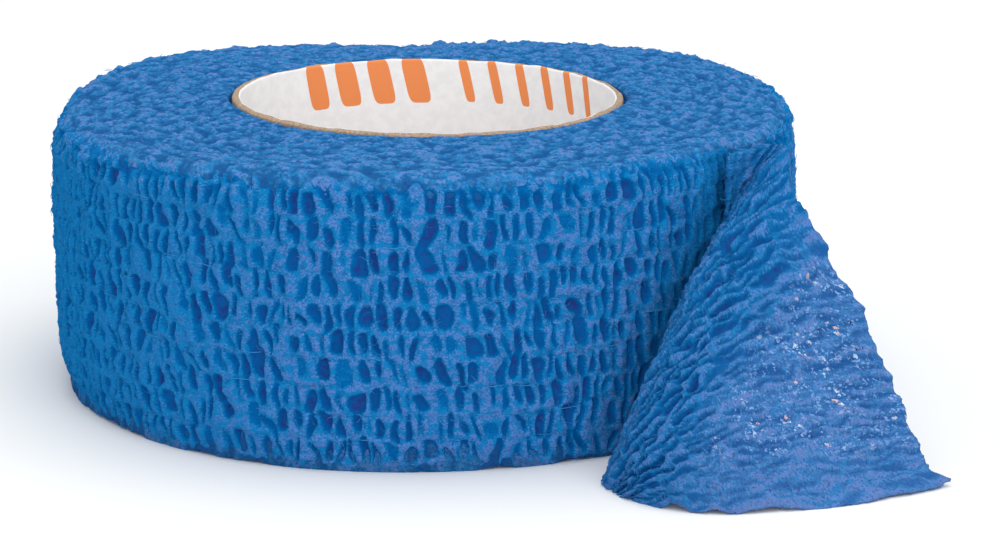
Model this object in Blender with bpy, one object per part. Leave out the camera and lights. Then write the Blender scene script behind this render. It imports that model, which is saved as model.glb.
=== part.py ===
"""Cohesive bandage roll.

Three pieces, as the real article is made: a paperboard core, the crinkled
elastic bandage wound on it, and the end of the bandage that has come off the
roll, twisted over and settled on the table.

Metres, +Z up.  The roll stands on its flat side.  While the pieces are being
made its axis is the Z axis; the finished part is then moved so that the
middle of its footprint is the origin.
"""
import math
from collections import namedtuple

import bmesh
import bpy
from mathutils import Vector

MM = 0.001
SHARP_ANGLE = 50              # edges bent by more degrees than this stay sharp

# ---------------------------------------------------------------- sizes (mm)
BANDAGE_WIDTH = 25.0          # the strip's width, so the height of the roll
PIECE_GAP = 0.3               # air left between neighbouring pieces

CORE_OUTER_RADIUS = 17.3
CORE_WALL = 0.9
CORE_HEIGHT = BANDAGE_WIDTH + 0.1
CORE_SIDES = 64
CORE_EDGE_BEVEL = 0.15

BORE_RADIUS = CORE_OUTER_RADIUS + PIECE_GAP
RIBS = 120                    # crinkle ridges round the wound side
RIB_HEIGHT = 0.5              # crest above the bottom of a pit
RIDGE_DIP = 0.15              # shares of the rib height: how deep ridges dip,
PIT_DEPTH = 0.80              # how deep the pits between them are,
PIT_STAGGER = 0.15            # how much deeper every other pit is,
UNEVENNESS = 0.05             # and how uneven the pits are
FOOT_ROUND = 1.7              # how far the lower rim draws in
CROWN_RISE = 0.25             # the inner turns stand this far above the width

PEEL_BEARING = -32.9          # degrees from +X where the strip leaves the roll
STEP_SWEEP = 0.6              # degrees over which the outermost turn ends
STRIP_THICKNESS = 1.0
END_RIBS = 20                 # crinkle ridges along the loose end
END_RIB_HEIGHT = 0.3
END_ROWS = 12                 # strips across the loose end's width
END_RIB_FADE = 8              # the ribs fade out over 1/8 of the run at each end

# The wound outline, turn by turn from the peel line against the winding.
# sweep: degrees round from the peel line, radius: of the side, rim: height of
# the outer edge.  The last row is the turn that lies under the first.
Outline = namedtuple("Outline", "sweep radius rim")
ROLL_OUTLINE = (
    Outline(0, 33.0, 24.3),
    Outline(30, 33.1, 24.4),
    Outline(60, 33.4, 24.5),
    Outline(83, 33.8, 24.6),
    Outline(108, 33.0, 24.2),
    Outline(130, 32.0, 23.8),
    Outline(150, 32.6, 24.1),
    Outline(170, 33.6, 24.6),
    Outline(195, 33.3, 24.5),
    Outline(215, 32.8, 24.4),
    Outline(245, 32.6, 24.4),
    Outline(280, 32.8, 24.5),
    Outline(310, 32.4, 24.5),
    Outline(340, 32.0, 24.5),
    Outline(360, 31.6, 24.4),
)

# Rows of the wound side, from the upper rim to the lower one.
# height: as a share of the rim's height, inset: drawn in from the radius,
# crinkle: share of the rib height that shows there.
SideRow = namedtuple("SideRow", "height inset crinkle")
SIDE_ROWS = (
    SideRow(0.985, 0.75, 0.4),
    SideRow(0.940, 0.20, 0.9),
    SideRow(0.835, 0.00, 1.0),
    SideRow(0.730, -0.05, 1.0),
    SideRow(0.620, -0.10, 1.0),
    SideRow(0.510, -0.10, 1.0),
    SideRow(0.400, -0.05, 1.0),
    SideRow(0.290, 0.00, 1.0),
    SideRow(0.180, 0.10, 1.0),
    SideRow(0.080, 0.35, 0.9),
    SideRow(0.022, 0.95, 0.4),
)

# Rings of the upper face: share of the way from the bore to the rim, and the
# height above the straight line between the two.
TopRing = namedtuple("TopRing", "share lift")
TOP_RINGS = (
    TopRing(0.35, 0.10),
    TopRing(0.68, 0.16),
)
TOP_EDGE_INSET = 1.9          # from the side to the edge of the upper face
TOP_EDGE_LIFT = 0.16

# Sections across the loose end, from the peel line to the cut end.
# run: share of the way along, foot: on the edge that stands on the table,
# crown: half way across, tip: on the edge that has fallen over.
Section = namedtuple(
    "Section",
    "run foot_x foot_y crown_x crown_y crown_z tip_x tip_y tip_z",
)
LOOSE_END = (
    Section(0.00, 26.9, -18.3, 26.9, -18.4, 12.3, 26.4, -18.0, 24.2),
    Section(0.14, 24.2, -22.4, 24.9, -22.4, 13.0, 27.2, -20.9, 24.0),
    Section(0.30, 21.2, -26.6, 22.3, -26.8, 13.6, 29.7, -24.8, 22.9),
    Section(0.46, 18.2, -30.6, 20.7, -30.8, 12.8, 32.6, -27.9, 19.6),
    Section(0.60, 16.0, -33.6, 20.5, -33.8, 11.3, 35.1, -29.6, 15.2),
    Section(0.74, 15.7, -36.2, 22.0, -36.5, 9.0, 37.4, -30.4, 10.8),
    Section(0.87, 16.7, -38.5, 24.4, -39.6, 5.8, 39.5, -31.4, 5.8),
    Section(0.95, 17.6, -39.7, 26.0, -41.8, 2.7, 41.2, -32.6, 2.3),
    Section(1.00, 18.3, -40.4, 26.7, -42.7, 0.5, 43.6, -33.9, 0.4),
)

# Colours of the photograph's object: base colour, roughness.
Finish = namedtuple("Finish", "colour roughness")
BANDAGE_BLUE = Finish((0.022, 0.135, 0.440, 1.0), 0.92)
LOOSE_END_BLUE = Finish((0.034, 0.150, 0.455, 1.0), 0.92)
PAPERBOARD = Finish((0.790, 0.750, 0.720, 1.0), 0.70)


# ------------------------------------------------------------------- helpers
def clear_scene():
    """Start from an empty scene."""
    for old in list(bpy.data.objects):
        bpy.data.objects.remove(old, do_unlink=True)


def make_material(name, finish):
    """A Principled material with one colour and one roughness."""
    material = bpy.data.materials.new(name)
    material.use_nodes = True
    shader = material.node_tree.nodes["Principled BSDF"]
    shader.inputs["Base Color"].default_value = finish.colour
    shader.inputs["Roughness"].default_value = finish.roughness
    shader.inputs["Metallic"].default_value = 0.0
    material.diffuse_color = finish.colour
    return material


def smooth_between(rows, key, at):
    """Value of every other column of a table at a point of its key column.

    The curve passes through each row and leaves it in the direction of its
    two neighbours, so the shape has no corners.
    """
    keys = [getattr(row, key) for row in rows]
    at = min(max(at, keys[0]), keys[-1])
    seat = 0
    while seat < len(rows) - 2 and at > keys[seat + 1]:
        seat += 1
    span = keys[seat + 1] - keys[seat]
    t = (at - keys[seat]) / span
    before = max(seat - 1, 0)
    after = min(seat + 2, len(rows) - 1)
    result = {}
    for column in rows[0]._fields:
        if column == key:
            continue
        start = getattr(rows[seat], column)
        end = getattr(rows[seat + 1], column)
        slope_in = (end - getattr(rows[before], column)) / (keys[seat + 1] - keys[before])
        slope_out = (getattr(rows[after], column) - start) / (keys[after] - keys[seat])
        bend = (2 * t ** 3 - 3 * t ** 2 + 1) * start + (3 * t ** 2 - 2 * t ** 3) * end
        lean = (t ** 3 - 2 * t ** 2 + t) * slope_in + (t ** 3 - t ** 2) * slope_out
        result[column] = bend + lean * span
    return result


def mesh_object(name, points, faces, material):
    """One closed, outward-facing mesh object from points in millimetres."""
    shape = bmesh.new()
    corners = [shape.verts.new(Vector(point) * MM) for point in points]
    for face in faces:
        shape.faces.new([corners[index] for index in face])
    bmesh.ops.recalc_face_normals(shape, faces=shape.faces[:])
    mesh = bpy.data.meshes.new(name)
    shape.to_mesh(mesh)
    shape.free()
    mesh.shade_smooth()
    mesh.set_sharp_from_angle(angle=math.radians(SHARP_ANGLE))
    mesh.materials.append(material)
    piece = bpy.data.objects.new(name, mesh)
    bpy.context.collection.objects.link(piece)
    return piece


def ring_faces(columns, rows):
    """Quads of a grid that closes on itself both ways, like a tyre."""
    faces = []
    for column in range(columns):
        beside = (column + 1) % columns
        for row in range(rows):
            above = (row + 1) % rows
            faces.append((
                column * rows + row,
                beside * rows + row,
                beside * rows + above,
                column * rows + above,
            ))
    return faces


# ---------------------------------------------------------------------- core
def make_core():
    """The paperboard tube: a short ring with slightly softened edges."""
    inner = CORE_OUTER_RADIUS - CORE_WALL
    soft = CORE_EDGE_BEVEL
    profile = (
        (inner, 0.0),
        (inner, CORE_HEIGHT - soft),
        (inner + soft, CORE_HEIGHT),
        (CORE_OUTER_RADIUS - soft, CORE_HEIGHT),
        (CORE_OUTER_RADIUS, CORE_HEIGHT - soft),
        (CORE_OUTER_RADIUS, 0.0),
    )
    points = []
    for side in range(CORE_SIDES):
        angle = math.tau * side / CORE_SIDES
        for radius, height in profile:
            points.append((radius * math.cos(angle), radius * math.sin(angle), height))
    faces = ring_faces(CORE_SIDES, len(profile))
    return mesh_object("core", points, faces, make_material("paperboard", PAPERBOARD))


# ---------------------------------------------------------------- wound roll
def crinkle(column, row):
    """How far a point of the wound side lies below the crest, 0 to 1.

    Even columns are ridges, odd columns the pits between them.  The pits of
    neighbouring columns are staggered up the side, and low ridges cross them.
    """
    wander = math.sin(1.3 * column) * math.sin(2.1 * row + 0.37 * column)
    if column % 2 == 0:
        return RIDGE_DIP * (1 + wander)
    stagger = math.cos(math.pi * (row + column // 2))
    return PIT_DEPTH + PIT_STAGGER * stagger + UNEVENNESS * wander


def roll_column(bearing, sweep, column):
    """Points of one upright slice through the wound turns."""
    edge = smooth_between(ROLL_OUTLINE, "sweep", sweep)
    radius = edge["radius"]
    rim = edge["rim"]
    bore_height = BANDAGE_WIDTH + CROWN_RISE
    shoulder = radius - TOP_EDGE_INSET
    profile = [(BORE_RADIUS, 0.0), (BORE_RADIUS, bore_height)]
    for ring in TOP_RINGS:
        ring_radius = BORE_RADIUS + (shoulder - BORE_RADIUS) * ring.share
        height = bore_height + (rim - bore_height) * ring.share + ring.lift
        profile.append((ring_radius, height))
    profile.append((shoulder, rim + TOP_EDGE_LIFT))
    for row, side in enumerate(SIDE_ROWS):
        depth = RIB_HEIGHT * side.crinkle * crinkle(column, row)
        profile.append((radius - side.inset - depth, rim * side.height))
    profile.append((radius - FOOT_ROUND, 0.0))
    direction = (math.cos(math.radians(bearing)), math.sin(math.radians(bearing)))
    return [(r * direction[0], r * direction[1], z) for r, z in profile]


def make_wound_roll():
    """The wound turns as one ring, with the end of the outermost turn as a
    step as high as the strip is thick."""
    columns = RIBS * 2
    points = []
    rows = 0
    for column in range(columns):
        sweep = column * (360.0 - STEP_SWEEP) / (columns - 1)
        bearing = PEEL_BEARING + sweep
        table_sweep = 360.0 * column / (columns - 1)
        slice_points = roll_column(bearing, table_sweep, column)
        rows = len(slice_points)
        points.extend(slice_points)
    faces = ring_faces(columns, rows)
    return mesh_object("wound_roll", points, faces, make_material("bandage", BANDAGE_BLUE))


# ----------------------------------------------------------------- loose end
def section_point(run, across):
    """A point of the loose end's middle surface.

    Each section is the smooth arch from its foot over its crown to its tip.
    """
    row = smooth_between(LOOSE_END, "run", run)
    foot = Vector((row["foot_x"], row["foot_y"], 0.0))
    crown = Vector((row["crown_x"], row["crown_y"], row["crown_z"]))
    tip = Vector((row["tip_x"], row["tip_y"], row["tip_z"]))
    pull = crown * 2 - (foot + tip) / 2
    rest = 1 - across
    return foot * rest ** 2 + pull * (2 * rest * across) + tip * across ** 2


def sheet_normal(run, across):
    """Direction across the strip's thickness at a point of its surface."""
    small = 0.01
    ahead = section_point(min(run + small, 1.0), across)
    behind = section_point(max(run - small, 0.0), across)
    above = section_point(run, min(across + small, 1.0))
    below = section_point(run, max(across - small, 0.0))
    return (above - below).cross(ahead - behind).normalized()


def make_loose_end():
    """The free end of the strip as a thin ribbed sheet.

    It starts against the step of the outermost turn and its lower edge and
    its cut end stand on the table.
    """
    columns = END_RIBS * 2 + 1
    rows = END_ROWS + 1
    half = STRIP_THICKNESS / 2
    outer = []
    inner = []
    for column in range(columns):
        run = column / (columns - 1)
        for row in range(rows):
            across = row / (rows - 1)
            middle = section_point(run, across)
            normal = sheet_normal(run, across)
            wave = END_RIB_HEIGHT / 2 if column % 2 else -END_RIB_HEIGHT / 2
            fade = min(1.0, END_RIB_FADE * run, END_RIB_FADE * (1 - run))
            for side, offset in ((outer, half), (inner, -half)):
                point = middle + normal * (offset + wave * fade)
                point.z = max(point.z, 0.0)
                side.append(tuple(point))
    points = outer + inner
    under = len(outer)
    faces = []
    for column in range(columns - 1):
        for row in range(rows - 1):
            a = column * rows + row
            b = a + rows
            faces.append((a, b, b + 1, a + 1))
            faces.append((under + a, under + a + 1, under + b + 1, under + b))
    border = [column * rows for column in range(columns)]
    border += [(columns - 1) * rows + row for row in range(1, rows)]
    border += [column * rows + rows - 1 for column in range(columns - 2, -1, -1)]
    border += [row for row in range(rows - 2, 0, -1)]
    for place, here in enumerate(border):
        there = border[(place + 1) % len(border)]
        faces.append((here, there, under + there, under + here))
    return mesh_object("loose_end", points, faces, make_material("loose_bandage", LOOSE_END_BLUE))


# --------------------------------------------------------------------- build
def centre_on_footprint(pieces):
    """Move the part so that the middle of its footprint is the origin."""
    corners = [vertex.co for piece in pieces for vertex in piece.data.vertices]
    middle_x = (min(c.x for c in corners) + max(c.x for c in corners)) / 2
    middle_y = (min(c.y for c in corners) + max(c.y for c in corners)) / 2
    lowest = min(c.z for c in corners)
    for piece in pieces:
        piece.location = (-middle_x, -middle_y, -lowest)


def build():
    clear_scene()
    pieces = [make_core(), make_wound_roll(), make_loose_end()]
    centre_on_footprint(pieces)


build()
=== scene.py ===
# %% [markdown]
# # A roll of crinkled cohesive bandage
#
# The real article is a thin felted web, glued to fine elastic threads that run
# along its length. When the stretched threads relax, they gather the web into
# rows of ridges and pits. The strip is wound on a short paperboard tube, and
# here its free end has come off the roll and settled on the table.
#
# This notebook makes that article in Blender. It starts from plain solids that
# say how large each piece is and where it stands, and then puts a detailed mesh
# and a finish in the place of each one.

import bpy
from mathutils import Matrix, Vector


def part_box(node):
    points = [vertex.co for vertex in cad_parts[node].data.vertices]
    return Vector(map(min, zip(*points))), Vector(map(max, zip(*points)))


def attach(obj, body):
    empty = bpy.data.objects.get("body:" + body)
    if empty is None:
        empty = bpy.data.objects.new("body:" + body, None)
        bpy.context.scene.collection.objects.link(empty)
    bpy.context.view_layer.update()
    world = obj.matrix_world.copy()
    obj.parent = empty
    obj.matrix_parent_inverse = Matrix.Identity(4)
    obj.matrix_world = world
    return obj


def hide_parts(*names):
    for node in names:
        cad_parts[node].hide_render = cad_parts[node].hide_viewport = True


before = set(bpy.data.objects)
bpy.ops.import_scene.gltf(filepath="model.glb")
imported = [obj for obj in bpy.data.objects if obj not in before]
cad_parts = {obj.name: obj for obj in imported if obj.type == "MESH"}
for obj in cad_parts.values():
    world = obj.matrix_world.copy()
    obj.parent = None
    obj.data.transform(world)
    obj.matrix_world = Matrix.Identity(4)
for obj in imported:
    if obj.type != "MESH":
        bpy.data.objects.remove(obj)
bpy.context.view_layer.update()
print("plain solids:", sorted(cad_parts))

# %% [markdown]
# ## Measures
#
# Every size below is in millimetres from the roll's own axis, because a roll is
# easiest to describe round its axis. The axis and the tube's radius could be
# typed in again, but they are read from the frame, so that the visible pieces
# stay where the solids are.

# %% Find the roll's axis and the tube's size
import math

import bpy
import numpy as np

MM = 0.001
core_low, core_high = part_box("core")
AXIS_X = (core_low.x + core_high.x) / 2
AXIS_Y = (core_low.y + core_high.y) / 2
CORE_RADIUS = (core_high.x - core_low.x) / 2 / MM
CORE_HEIGHT = core_high.z / MM
print(f"axis at {AXIS_X / MM:.2f}, {AXIS_Y / MM:.2f} mm; tube radius {CORE_RADIUS:.2f} mm")

# %% [markdown]
# ## Camera
#
# The photograph was taken with a long lens from a little above the roll. A long
# lens keeps the far rim nearly as large as the near one. The camera could be
# aimed by hand, but its place was worked out from the ellipse of the bore, so
# its three numbers and its tilt are given straight.

# %% Place the camera
CAMERA_PLACE = (6.73, -336.9, 92.3)
CAMERA_TILT_DOWN = 13.98
LENS_LENGTH = 139.67
SENSOR_WIDTH = 36.0

camera_data = bpy.data.cameras.new("camera")
camera_data.lens = LENS_LENGTH
camera_data.sensor_width = SENSOR_WIDTH
camera = bpy.data.objects.new("camera", camera_data)
camera.location = (
    AXIS_X + CAMERA_PLACE[0] * MM,
    AXIS_Y + CAMERA_PLACE[1] * MM,
    CAMERA_PLACE[2] * MM,
)
camera.rotation_euler = (math.radians(90 - CAMERA_TILT_DOWN), 0, 0)
bpy.context.collection.objects.link(camera)
bpy.context.scene.camera = camera
print("camera at", [round(c, 4) for c in camera.location])

# %% [markdown]
# ## Floor and light
#
# The article is shown on a pale floor under soft studio light. A soft light is
# simply a large one: each lamp here is an area light many times wider than the
# roll, so that no pit of the crinkle gets a hard shadow. The main light stands
# over the camera and a little to its right, and a second one above the roll. The
# world adds an even glow, as the walls of a white tent would. The view transform
# is the plain one, because the usual one would grey the whites and dull the blue.

# %% Make the floor
FLOOR_HALF = 3.0
FLOOR_COLOUR = (0.90, 0.90, 0.90, 1.0)

floor_mesh = bpy.data.meshes.new("floor")
floor_mesh.from_pydata(
    [(-FLOOR_HALF, -FLOOR_HALF, 0), (FLOOR_HALF, -FLOOR_HALF, 0),
     (FLOOR_HALF, FLOOR_HALF, 0), (-FLOOR_HALF, FLOOR_HALF, 0)],
    [],
    [(0, 1, 2, 3)],
)
floor = bpy.data.objects.new("floor", floor_mesh)
bpy.context.collection.objects.link(floor)
floor_paint = bpy.data.materials.new("floor_paint")
floor_paint.use_nodes = True
floor_shader = floor_paint.node_tree.nodes["Principled BSDF"]
floor_shader.inputs["Base Color"].default_value = FLOOR_COLOUR
floor_shader.inputs["Roughness"].default_value = 0.9
floor_shader.inputs["Specular IOR Level"].default_value = 0.1
floor_mesh.materials.append(floor_paint)
print("floor", 2 * FLOOR_HALF, "m wide")

# %% Hang the lamps
from collections import namedtuple

from mathutils import Vector

Lamp = namedtuple("Lamp", "name x y z width watts tint")
LAMPS = (
    Lamp("front_lamp", 0.15, -0.70, 0.42, 0.95, 3.4, (1.0, 0.98, 0.95)),
    Lamp("top_lamp", 0.05, 0.05, 0.75, 0.70, 2.6, (1.0, 0.97, 0.94)),
)
AIM = Vector((0.0, 0.0, 0.012))
WORLD_GLOW = 0.74
WORLD_TINT = (0.93, 0.98, 1.0, 1.0)

for lamp in LAMPS:
    light_data = bpy.data.lights.new(lamp.name, "AREA")
    light_data.size = lamp.width
    light_data.color = lamp.tint
    light_data.energy = lamp.watts
    light = bpy.data.objects.new(lamp.name, light_data)
    light.location = (lamp.x, lamp.y, lamp.z)
    light.rotation_euler = (AIM - light.location).to_track_quat("-Z", "Y").to_euler()
    bpy.context.collection.objects.link(light)

world = bpy.data.worlds.new("white_tent")
world.use_nodes = True
background = world.node_tree.nodes["Background"]
background.inputs["Color"].default_value = WORLD_TINT
background.inputs["Strength"].default_value = WORLD_GLOW
bpy.context.scene.world = world
bpy.context.scene.view_settings.view_transform = "Standard"
print(len(LAMPS), "lamps and a white tent")

# %% [markdown]
# ## Tools for a crinkled surface
#
# A crinkled web has three kinds of shape: its overall form, the pits that the
# threads gather it into, and the small lumps of its fibres. Sculpting thousands
# of pits by hand would be slow, and a Displace modifier with a texture would make
# them all alike. So the surface is computed as grids of numbers: one table of
# heights above the smooth form, filled by a loop that presses one pit after the
# other. All that is random comes from numbered seeds, so each run is the same.

# %% A smooth curve through a few values
def through(known_at, known, at):
    """Values at the places `at` on a smooth curve through the known ones."""
    known_at = np.asarray(known_at, float)
    known = np.asarray(known, float)
    slopes = np.gradient(known, known_at)
    seat = np.clip(np.searchsorted(known_at, at) - 1, 0, len(known_at) - 2)
    span = known_at[seat + 1] - known_at[seat]
    t = (at - known_at[seat]) / span
    start = (2 * t ** 3 - 3 * t ** 2 + 1) * known[seat]
    end = (3 * t ** 2 - 2 * t ** 3) * known[seat + 1]
    lean_in = (t ** 3 - 2 * t ** 2 + t) * slopes[seat] * span
    lean_out = (t ** 3 - t ** 2) * slopes[seat + 1] * span
    return start + end + lean_in + lean_out


def smooth_step(low, high, value):
    """0 below low, 1 above high, and a soft rise between them."""
    t = np.clip((value - low) / (high - low), 0, 1)
    return t * t * (3 - 2 * t)


# %% Random relief with lumps of a chosen size
def blurred(field, step, reach):
    """A grid's values spread out by `reach` millimetres up and along."""
    up = np.fft.fftfreq(field.shape[0], step[0])[:, None]
    along = np.fft.rfftfreq(field.shape[1], step[1])[None, :]
    keep = np.exp(-2 * (np.pi * up * reach[0]) ** 2 - 2 * (np.pi * along * reach[1]) ** 2)
    return np.fft.irfft2(np.fft.rfft2(field) * keep, field.shape)


def lumps(shape, step, size, seed):
    """Random relief of mean 0 and spread 1, its lumps `size` millimetres wide."""
    relief = blurred(np.random.default_rng(seed).standard_normal(shape), step, size)
    return (relief - relief.mean()) / relief.std()


# %% Rows of pits
Pit = namedtuple("Pit", "up along half_tall half_wide lean depth")
Weave = namedtuple("Weave", "narrow round round_share half_tall ridge spread")
WOUND = Weave(
    narrow=(0.18, 0.33),       # half widths: most pits are slots between two ridges
    round=(0.36, 0.60),        # and some are wide and nearly round
    round_share=0.26,
    half_tall=(0.76, 1.20),
    ridge=0.29,                # the thinnest ridge between two pits
    spread=0.17,
)
SHALLOW_SHARE = 0.22
SHALLOW = (0.45, 0.65)         # shares of the full depth
DEEP = (0.75, 1.00)
LEAN = (-0.10, 0.13)           # mean and spread, sideways for each step up


def row_of_pits(height, length, depth, random, weave=WOUND):
    """One row of pits at that height, wandering a little, from end to end."""
    pits = []
    along = random.uniform(0, 1)
    while along < length - 0.6:
        wide = random.uniform() < weave.round_share
        half_wide = random.uniform(*(weave.round if wide else weave.narrow))
        pits.append(Pit(
            height + random.normal(0, 0.20),
            along + half_wide,
            random.uniform(*weave.half_tall),
            half_wide,
            random.normal(*LEAN),
            depth * random.uniform(*(SHALLOW if random.uniform() < SHALLOW_SHARE else DEEP)),
        ))
        along += 2 * half_wide + weave.ridge + random.gamma(2, weave.spread)
    return pits


def dimples(number, height, length, random):
    """Shallow small pits, scattered over ridges and slots alike."""
    return [
        Pit(
            random.uniform(*height),
            random.uniform(0.5, length - 0.5),
            random.uniform(0.15, 0.45),
            random.uniform(0.06, 0.18),
            random.normal(*LEAN),
            random.uniform(0.18, 0.42),
        )
        for _ in range(number)
    ]


# %% Press the pits into a grid
WALL_OUT = 0.14     # a pit's wall starts this far outside its outline
WALL_IN = 0.14      # and ends this far inside


def press(shape, step, pits, wander, seed):
    """How deep each point of the grid lies in a pit: 0 on a ridge, 1 in a heart.

    wander is how far, in millimetres, the outlines stray from a smooth oval.
    """
    stray_up = wander * lumps(shape, step, (0.50, 0.40), seed)
    stray_along = wander * lumps(shape, step, (0.50, 0.40), seed + 1)
    hollow = np.zeros(shape)
    for pit in pits:
        tall = pit.half_tall + WALL_OUT
        wide = pit.half_wide + WALL_OUT + abs(pit.lean) * tall
        rows = np.arange(
            max(math.ceil((pit.up - tall) / step[0]), 0),
            min(math.floor((pit.up + tall) / step[0]) + 1, shape[0]),
        )
        columns = np.arange(
            math.ceil((pit.along - wide) / step[1]),
            math.floor((pit.along + wide) / step[1]) + 1,
        )
        here = np.ix_(rows, columns % shape[1])
        up = rows[:, None] * step[0] - pit.up + stray_up[here]
        along = columns[None, :] * step[1] - pit.along - pit.lean * up + stray_along[here]
        outline = np.abs(along / pit.half_wide) ** 2.2 + np.abs(up / pit.half_tall) ** 3
        inside = (1 - outline ** 0.4) * pit.half_wide
        dip = pit.depth * smooth_step(-WALL_OUT, WALL_IN, inside)
        hollow[here] = np.maximum(hollow[here], dip)
    return hollow


print("a pit is", 2 * WOUND.narrow[0], "to", 2 * WOUND.round[1], "mm wide")

# %% [markdown]
# ## From grids to meshes
#
# Blender keeps a mesh as points and faces. A grid of points turns into quads by
# counting, and a body is closed by joining the grid's border to a plain wall
# behind it, so each piece is a real closed body and not a loose skin. Two facts
# are stored with every point, because the finishes read them: how deep it lies
# in a pit, which the finishes turn into painted shade, and its place on the cloth
# in millimetres, so that fibres follow the strip round the roll. Cloth pieces
# carry more, such as how much painted sheen shows.

# %% Number the quads of a grid
def quads(rows, columns, first=0, ring=False):
    """Corner numbers of a grid's quads; a ring's last column meets its first."""
    last = columns if ring else columns - 1
    row, column = np.meshgrid(np.arange(rows - 1), np.arange(last), indexing="ij")
    beside = (column + 1) % columns
    corners = (
        row * columns + column,
        row * columns + beside,
        (row + 1) * columns + beside,
        (row + 1) * columns + column,
    )
    return first + np.stack(corners, axis=-1).reshape(-1, 4)


# %% Turn points and faces into a piece
import bmesh


def make_piece(name, points, faces, materials, hollow, cloth, node, slot, which=None, **facts):
    """A closed mesh piece, from points in millimetres round the roll's axis.

    hollow, cloth and any further facts are kept on the points; which says the
    material of each face.
    """
    mesh = bpy.data.meshes.new(name)
    place = np.asarray(points) * MM + np.array([AXIS_X, AXIS_Y, 0.0])
    mesh.from_pydata(place.tolist(), [], [tuple(face) for face in faces])
    depth = mesh.attributes.new("hollow", "FLOAT", "POINT")
    depth.data.foreach_set("value", np.asarray(hollow, np.float32).ravel())
    spot = mesh.attributes.new("cloth", "FLOAT_VECTOR", "POINT")
    spot.data.foreach_set("vector", np.asarray(cloth, np.float32).ravel())
    for fact, values in facts.items():
        kept = mesh.attributes.new(fact, "FLOAT", "POINT")
        kept.data.foreach_set("value", np.asarray(values, np.float32).ravel())
    for material in materials:
        mesh.materials.append(material)
    if which is not None:
        mesh.polygons.foreach_set("material_index", np.asarray(which, np.int32))
    shape = bmesh.new()
    shape.from_mesh(mesh)
    bmesh.ops.recalc_face_normals(shape, faces=shape.faces[:])
    shape.to_mesh(mesh)
    shape.free()
    mesh.shade_smooth()
    piece = bpy.data.objects.new(name, mesh)
    bpy.context.collection.objects.link(piece)
    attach(piece, "root")
    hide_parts(node)
    triangles = sum(len(p.vertices) - 2 for p in mesh.polygons)
    print(f"{name}: {triangles:,} triangles")
    return piece


# %% [markdown]
# ## Shader groups for the felted web
#
# Side, top and loose end are the same web seen in three ways, so they share two
# node groups. The first makes the fibres: fine noise that is longer along the
# strip than across it. The second turns those and the pit depth into a colour, in
# four stops: the crowns of the ridges are palest, the flanks and bridges lean to
# cyan, the pits are deep blue, and their hearts go to violet. This darkening by
# pit depth is painted shade in the pits. The crowns carry lilac flecks, a painted
# sheen where the fuzz would scatter the light, and a cyan band round each pit's
# rim is a painted highlight; other cyan comes in patches of tone. Dark flecks lie
# over all but the pits, and pale ones on the crowns. A painted image would give
# the same dots everywhere; noise never repeats.

# %% A helper that makes a node group with named sockets
def new_group(name, inputs, outputs):
    """An empty shader group. inputs and outputs are (name, type, default) rows."""
    group = bpy.data.node_groups.new(name, "ShaderNodeTree")
    for socket_name, kind, default in inputs:
        socket = group.interface.new_socket(socket_name, in_out="INPUT", socket_type=kind)
        if default is not None:
            socket.default_value = default
    for socket_name, kind, _ in outputs:
        group.interface.new_socket(socket_name, in_out="OUTPUT", socket_type=kind)
    group_in = group.nodes.new("NodeGroupInput")
    group_out = group.nodes.new("NodeGroupOutput")
    return group, group_in, group_out


def math_node(tree, operation, first, second=None, clamp=False):
    """A Math node; a number sets its socket and a socket is linked to it."""
    node = tree.nodes.new("ShaderNodeMath")
    node.operation = operation
    node.use_clamp = clamp
    for socket, value in zip(node.inputs, (first, second)):
        if isinstance(value, bpy.types.NodeSocket):
            tree.links.new(value, socket)
        elif value is not None:
            socket.default_value = value
    return node.outputs[0]


def mix_colours(tree, share, first, second):
    """A Mix node for colours."""
    node = tree.nodes.new("ShaderNodeMix")
    node.data_type = "RGBA"
    for socket, value in ((node.inputs[0], share), (node.inputs[6], first), (node.inputs[7], second)):
        if isinstance(value, bpy.types.NodeSocket):
            tree.links.new(value, socket)
        else:
            socket.default_value = value
    return node.outputs[2]


def map_range(tree, value, low, high, to_low=0.0, to_high=1.0):
    """A soft Map Range node from low..high to to_low..to_high."""
    node = tree.nodes.new("ShaderNodeMapRange")
    node.interpolation_type = "SMOOTHSTEP"
    tree.links.new(value, node.inputs["Value"])
    for socket, number in zip(node.inputs[1:5], (low, high, to_low, to_high)):
        socket.default_value = number
    return node.outputs["Result"]


def noise_node(tree, vector, scale, detail=2.0, rough=0.6):
    """A 3-D Noise Texture that reads that vector."""
    node = tree.nodes.new("ShaderNodeTexNoise")
    tree.links.new(vector, node.inputs["Vector"])
    if isinstance(scale, bpy.types.NodeSocket):
        tree.links.new(scale, node.inputs["Scale"])
    else:
        node.inputs["Scale"].default_value = scale
    node.inputs["Detail"].default_value = detail
    node.inputs["Roughness"].default_value = rough
    return node.outputs["Fac"]


def attribute_node(tree, name):
    """The node that reads one of the facts kept on a mesh's points."""
    node = tree.nodes.new("ShaderNodeAttribute")
    node.attribute_name = name
    return node


# %% The fibre group
VECTOR, FLOAT, COLOUR = "NodeSocketVector", "NodeSocketFloat", "NodeSocketColor"
fibres, fibres_in, fibres_out = new_group(
    "felted_fibres",
    [("Cloth", VECTOR, None), ("Grain", FLOAT, 4.0), ("Patch", FLOAT, 1.6), ("Stretch", FLOAT, 0.5)],
    [("Fleck", FLOAT, None), ("Streak", FLOAT, None), ("Height", FLOAT, None)],
)
separate = fibres.nodes.new("ShaderNodeSeparateXYZ")
fibres.links.new(fibres_in.outputs["Cloth"], separate.inputs[0])
combine = fibres.nodes.new("ShaderNodeCombineXYZ")
drawn_out = math_node(fibres, "MULTIPLY", separate.outputs[0], fibres_in.outputs["Stretch"])
fibres.links.new(drawn_out, combine.inputs[0])
fibres.links.new(separate.outputs[1], combine.inputs[1])
fibres.links.new(separate.outputs[2], combine.inputs[2])
fleck = noise_node(fibres, combine.outputs[0], fibres_in.outputs["Grain"], 2.5, 0.7)
streak = noise_node(fibres, combine.outputs[0], fibres_in.outputs["Patch"], 2.0, 0.6)
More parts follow.
